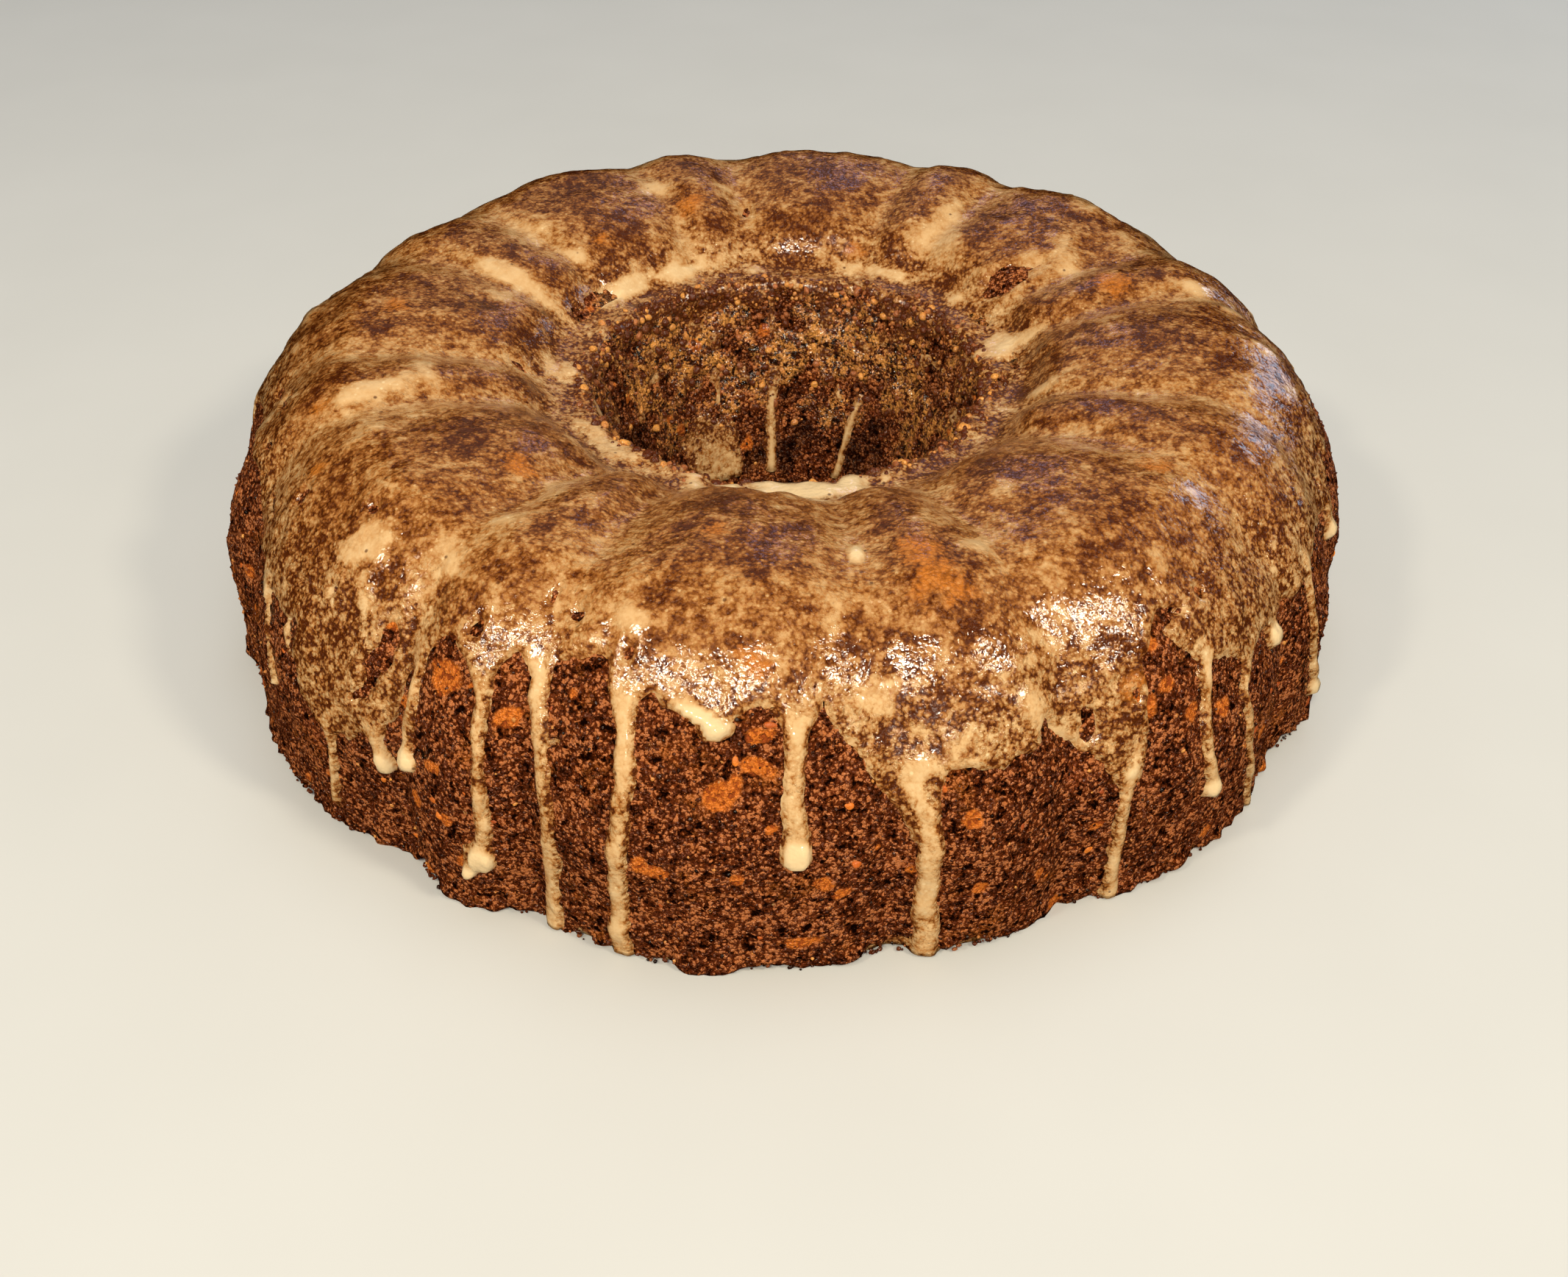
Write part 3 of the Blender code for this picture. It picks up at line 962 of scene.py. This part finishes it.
WET_IOR = 1.72  # of the sugary film, on the glaze and on soaked crumb
DARK_CRUMB = (0.004, 0.0007, 0.0002)
BROWN_CRUMB = (0.042, 0.008, 0.0015)
MID_CRUMB = (0.115, 0.022, 0.0042)
LIGHT_CRUMB = (0.5, 0.16, 0.048)
GOLD_CRUMB = (0.46, 0.125, 0.014)
RED_CRUMB = (0.3, 0.06, 0.012)
SOAKED_CRUMB = (0.84, 0.36, 0.075)
FRUIT = (0.8, 0.21, 0.02)
FRUIT_STOPS = [(0, (0.3, 0.05, 0.008)), (0.5, (0.6, 0.13, 0.012)), (1, (0.84, 0.24, 0.022))]
CRUMB_STOPS = [
    (0.54, DARK_CRUMB), (0.71, BROWN_CRUMB), (0.86, MID_CRUMB), (0.93, MID_CRUMB), (1, LIGHT_CRUMB),
]  # fmt: skip
LOOSE_STOPS = [
    (0, DARK_CRUMB), (0.45, MID_CRUMB), (0.84, MID_CRUMB), (0.94, LIGHT_CRUMB), (1, SOAKED_CRUMB),
]  # fmt: skip


def crumb_relief_nodes(g):
    """Height from 0 to 1 of packed grains of about half a millimetre, and of pores between them."""
    grains = g.math("SUBTRACT", 1, g.cells(0.66, warp=0.55))
    fine = g.noise(0.36, detail=2, rough=0.6)
    pores = g.fit(g.noise(1.9, rough=0.6, seed=7), 0.33, 0.43, 0.05, 1)
    return g.times(g.weighted((grains, 0.6), (fine, 0.42)), pores)


def crumb_colour(g, relief):
    """Near-black grains with pores, paler flecks, and reddish patches. The tone follows the relief, so the
    pores are darker, partly in their own colour and partly as painted shade, and raised grains are paler
    and take the gold and red flecks. Where glaze has soaked in, and on bits of fruit, the grains are
    golden or orange."""
    soaked = g.attribute("soaked")
    fruit = g.attribute("fruit")
    tint = g.split(g.cells(0.66, output="Color", warp=0.55), "Red")
    cloud = g.noise(5, detail=5, rough=0.7)
    clump = g.noise(2.4, detail=2, seed=5)
    # The relief darkens the pores, partly as painted shade in them, and makes raised grains paler.
    tone = g.weighted((tint, 0.36), (cloud, 0.6), (relief, 0.78))
    colour = g.ramp(tone, CRUMB_STOPS)
    raised = g.fit(relief, 0.35, 0.65)
    gold = g.fit(g.noise(9, detail=5, rough=0.62, seed=3), 0.57, 0.68, 0, 0.7)
    colour = g.mix(g.times(gold, raised), colour, GOLD_CRUMB)
    red = g.fit(g.noise(7, detail=4, rough=0.6, seed=4), 0.6, 0.72, 0, 0.55)
    colour = g.mix(g.times(red, raised), colour, RED_CRUMB)
    lit = g.fit(g.weighted((tint, 0.25), (relief, 0.55), (clump, 0.9)), 0.76, 1.02)
    colour = g.mix(g.times(g.fit(soaked, 0, 1), lit), colour, SOAKED_CRUMB)
    # Where that number is below 0 the wall is darker, towards near-black.
    colour = g.mix(g.fit(soaked, -0.8, 0, 0.72, 0), colour, DARK_CRUMB)
    flesh = g.mix(g.fit(relief, 0.3, 0.62), RED_CRUMB, FRUIT)
    edge = g.fit(g.weighted((fruit, 1), (cloud, 0.5)), 0.55, 0.85, 0, 0.92)
    return g.mix(edge, colour, flesh)


def crumb_material():
    g = Graph("crumb")
    relief = crumb_relief_nodes(g)
    fine = g.noise(0.8, detail=2, seed=6)
    wet_lumps = g.noise(1.1, detail=2, seed=9)
    return g.finish(
        Base_Color=crumb_colour(g, relief),
        Roughness=g.fit(fine, 0.35, 0.65, 0.18, 0.36),
        Specular_IOR_Level=g.fit(relief, 0.45, 0.8, 0.02, 1),
        Normal=g.bump(relief, 0.9),
        Coat_Weight=g.fit(g.attribute("soaked"), 0.1, 0.6),
        Coat_IOR=WET_IOR,
        Coat_Roughness=g.fit(fine, 0.35, 0.65, 0.05, 0.1),
        Coat_Normal=g.bump(wet_lumps, 0.8),
    )


def bit_material(name, stops, speck, speck_from, size, detail, roughness, specular, relief):
    """For separate bits, each coloured by its shade, with finer specks."""
    g = Graph(name)
    fine = g.noise(size, detail=detail)
    colour = g.ramp(g.attribute("shade"), stops)
    return g.finish(
        Base_Color=g.mix(g.fit(fine, speck_from, 0.7, 0, 0.5), colour, speck),
        Roughness=g.fit(fine, 0.3, 0.7, *roughness),
        Specular_IOR_Level=specular,
        Normal=g.bump(fine, relief),
    )


DARK_GLAZE = (0.08, 0.016, 0.0018)
BROWN_GLAZE = (0.21, 0.062, 0.009)
AMBER_GLAZE = (0.37, 0.14, 0.03)
TAN_GLAZE = (0.495, 0.245, 0.08)
PALE_GLAZE = (0.64, 0.39, 0.17)
CREAM_GLAZE = (0.78, 0.57, 0.305)
FRUIT_GLAZE = (0.62, 0.19, 0.02)


def glaze_material():
    """Sugar glaze: brown where the crumb shows through a thin film, tan and cream where it is deep."""
    g = Graph("glaze")
    depth = g.attribute("coat_mm")
    fruit = g.attribute("fruit")
    upward = g.node("SeparateXYZ", {"Vector": g.place}).outputs["Z"]
    grainy = g.fit(upward, 46 * MM, 57 * MM, 1, 0.4)
    cloud = g.noise(7, rough=0.6, distortion=0.4)
    patch = g.noise(2.3, detail=2, rough=0.5, seed=1)
    mottle = g.noise(3.9, detail=1, rough=0.5, seed=8, distortion=0.6)
    grain = g.math("SUBTRACT", 1, g.cells(0.85, warp=0.5))
    fine = g.noise(0.48, detail=2, rough=0.7, seed=2)
    vein = g.fit(g.noise(1.7, detail=4, rough=0.68, seed=10), 0.43, 0.58, -0.34, 0.34)
    slow = g.weighted((g.swing(cloud), 1.7), (g.swing(patch), 1.3), (g.swing(mottle), 0.9))
    quick = g.weighted((g.swing(fine), 1.3), (vein, 1))
    swing = g.weighted((slow, 1), (g.times(quick, grainy), 1), (vein, 0.2))
    calm = g.fit(depth, 0.8, 1.6, 1, 0.25)
    seen = g.math("ADD", depth, g.times(swing, calm))
    thin = g.times(g.fit(seen, 0.6, 1.7, 2.1, 0), grainy)
    crumbs = g.times(g.math("SUBTRACT", grain, 0.6), thin)
    pick = g.split(g.cells(1.7, output="Color"), "Green")
    dots = g.times(g.fit(g.cells(1.7), 0.13, 0.21, 1, 0), pick)
    shown = g.weighted((seen, 1), (crumbs, 1), (dots, 0.7))
    stops = [
        (0, DARK_GLAZE), (0.15, BROWN_GLAZE), (0.27, AMBER_GLAZE), (0.4, TAN_GLAZE), (0.62, PALE_GLAZE),
        (0.92, CREAM_GLAZE),
    ]
    colour = g.ramp(g.fit(shown, -0.22, 2.35), stops)
    orange = g.fit(g.weighted((fruit, 1), (patch, 0.9), (grain, 0.6)), 1.15, 1.9)
    orange = g.times(orange, g.fit(seen, 0.3, 1.5, 0.85, 0))
    colour = g.mix(orange, colour, FRUIT_GLAZE)
    bubble = g.cells(4.6)
    colour = g.mix(g.fit(bubble, 0.05, 0.085, 0.75, 0), colour, DARK_GLAZE)
    rough_relief = g.weighted((grain, 0.6), (fine, 0.4))
    rough_relief = g.times(rough_relief, g.fit(seen, 0.35, 1.3, 1, 0.12))
    relief = g.weighted((rough_relief, 1), (g.fit(bubble, 0.05, 0.1), 0.25), (patch, 0.5))
    wet = g.weighted((relief, 0.22), (patch, 0.85), (g.times(rough_relief, grainy), 0.3))
    return g.finish(
        Base_Color=colour,
        Roughness=g.fit(patch, 0.35, 0.7, 0.22, 0.36),
        Specular_IOR_Level=0.22,
        Normal=g.bump(relief, 0.7, 0.9),
        Coat_Weight=1,
        Coat_IOR=WET_IOR,
        Coat_Roughness=g.fit(fine, 0.3, 0.7, 0.03, 0.07),
        Coat_Normal=g.bump(wet, 0.34, 0.8),
    )


def floor_material():
    g = Graph("floor")
    soft = g.noise(60, detail=2)
    colour = g.ramp(soft, [(0, (0.57, 0.58, 0.56)), (1, (0.61, 0.62, 0.6))])
    return g.finish(Base_Color=colour, Roughness=0.65)


# ---- stage

# The camera, which looks down at the cake: distance in base radii, and angles
CAMERA_DISTANCE = 2.855
CAMERA_ELEVATION = math.radians(36.47)
CAMERA_DOWN = math.radians(39.83)
CAMERA_ROLL = math.radians(0.12)
FOCAL_SHARE = 0.938  # focal length as a share of the picture's width
FLOOR_HALF = 30.0
AIM_HEIGHT = 0.04  # the lamps aim at this height on the axis


def add_camera():
    camera = bpy.data.cameras.new("camera")
    camera.sensor_fit = "HORIZONTAL"
    camera.lens = FOCAL_SHARE * camera.sensor_width
    camera.clip_start = 0.01
    thing = add_object("camera", camera)
    away = CAMERA_DISTANCE * BASE_RADIUS
    thing.location = circle_points(0, away * math.cos(CAMERA_ELEVATION), away * math.sin(CAMERA_ELEVATION))
    looking = Euler((0.5 * math.pi - CAMERA_DOWN, 0, 0)).to_matrix()
    looking @= Euler((0, 0, CAMERA_ROLL)).to_matrix()
    thing.rotation_euler = looking.to_euler()
    bpy.context.scene.camera = thing


def add_floor():
    mesh = bpy.data.meshes.new("floor")
    corners = [(x * FLOOR_HALF, y * FLOOR_HALF, 0) for x, y in ((-1, -1), (1, -1), (1, 1), (-1, 1))]
    mesh.from_pydata(corners, [], [(0, 1, 2, 3)])
    mesh.materials.append(floor_material())
    floor = add_object("floor", mesh)
    floor.visible_glossy = False


def add_light(name, azimuth, elevation, power, colour, kind="AREA"):
    """A light that shines at the cake. Its azimuth counts round from the front towards the right."""
    light = bpy.data.lights.new(name, kind)
    light.energy = power
    light.color = colour
    thing = add_object(name, light)
    thing.rotation_euler = (0.5 * math.pi - math.radians(elevation), 0, math.radians(azimuth))
    return thing


def add_lamp(name, azimuth, elevation, distance, size, power, colour):
    """A round lamp aimed at the cake."""
    thing = add_light(name, azimuth, elevation, power, colour)
    thing.data.shape = "DISK"
    thing.data.size = size
    up_by = math.radians(elevation)
    flat = distance * math.cos(up_by)
    height = distance * math.sin(up_by) + AIM_HEIGHT
    thing.location = circle_points(math.radians(azimuth), flat, height)


def add_fill(name, azimuth, elevation, spread, strength, colour):
    """Soft light that reaches the whole floor alike and leaves no highlight."""
    thing = add_light(name, azimuth, elevation, strength, colour, "SUN")
    thing.data.angle = math.radians(spread)
    thing.visible_glossy = False


LAMP = (1, 0.88, 0.68)
FILL = (1, 0.99, 1.03)


def add_lights():
    add_lamp("key", -12, 46, 1, 0.15, 5, LAMP)
    add_lamp("right", 55, 44, 1, 0.15, 3.4, LAMP)
    add_lamp("left", -50, 46, 1, 0.11, 2.2, LAMP)
    add_fill("front", 4, 24, 37, 0.54, FILL)
    add_fill("top", 170, 72, 37, 0.66, FILL)
    add_lamp("haze", 180, 36, 1.2, 1, 0.32, (1, 0.94, 0.86))
    add_lamp("low", 2, 22, 1, 0.05, 0.35, LAMP)
    add_lamp("back", 174, 30, 1, 0.12, 0.055, (0.64, 0.6, 1))
    add_lamp("side", 130, 13, 1, 0.3, 0.55, (0.62, 0.78, 1))
    world = bpy.data.worlds.new("world")
    world.use_nodes = True
    background = world.node_tree.nodes["Background"]
    background.inputs["Color"].default_value = (0.96, 0.97, 0.99, 1)
    background.inputs["Strength"].default_value = 0.32
    bpy.context.scene.world = world
    world.cycles_visibility.glossy = False
    bpy.context.scene.view_settings.view_transform = "Standard"


# ---- making it all

add_camera()
add_floor()
add_lights()
crumb_body(crumb_material())
glaze_skin(glaze_material())
fruit_bits(bit_material("fruit", FRUIT_STOPS, RED_CRUMB, 0.45, 0.9, 4, (0.22, 0.45), 0.5, 0.5))
loose = bit_material("loose_crumb", LOOSE_STOPS, DARK_CRUMB, 0.4, 0.35, 2, (0.12, 0.3), 0.6, 0.25)
loose_crumbs(loose)
rim_grains_and_painted_glints(loose)

bpy.context.view_layer.update()
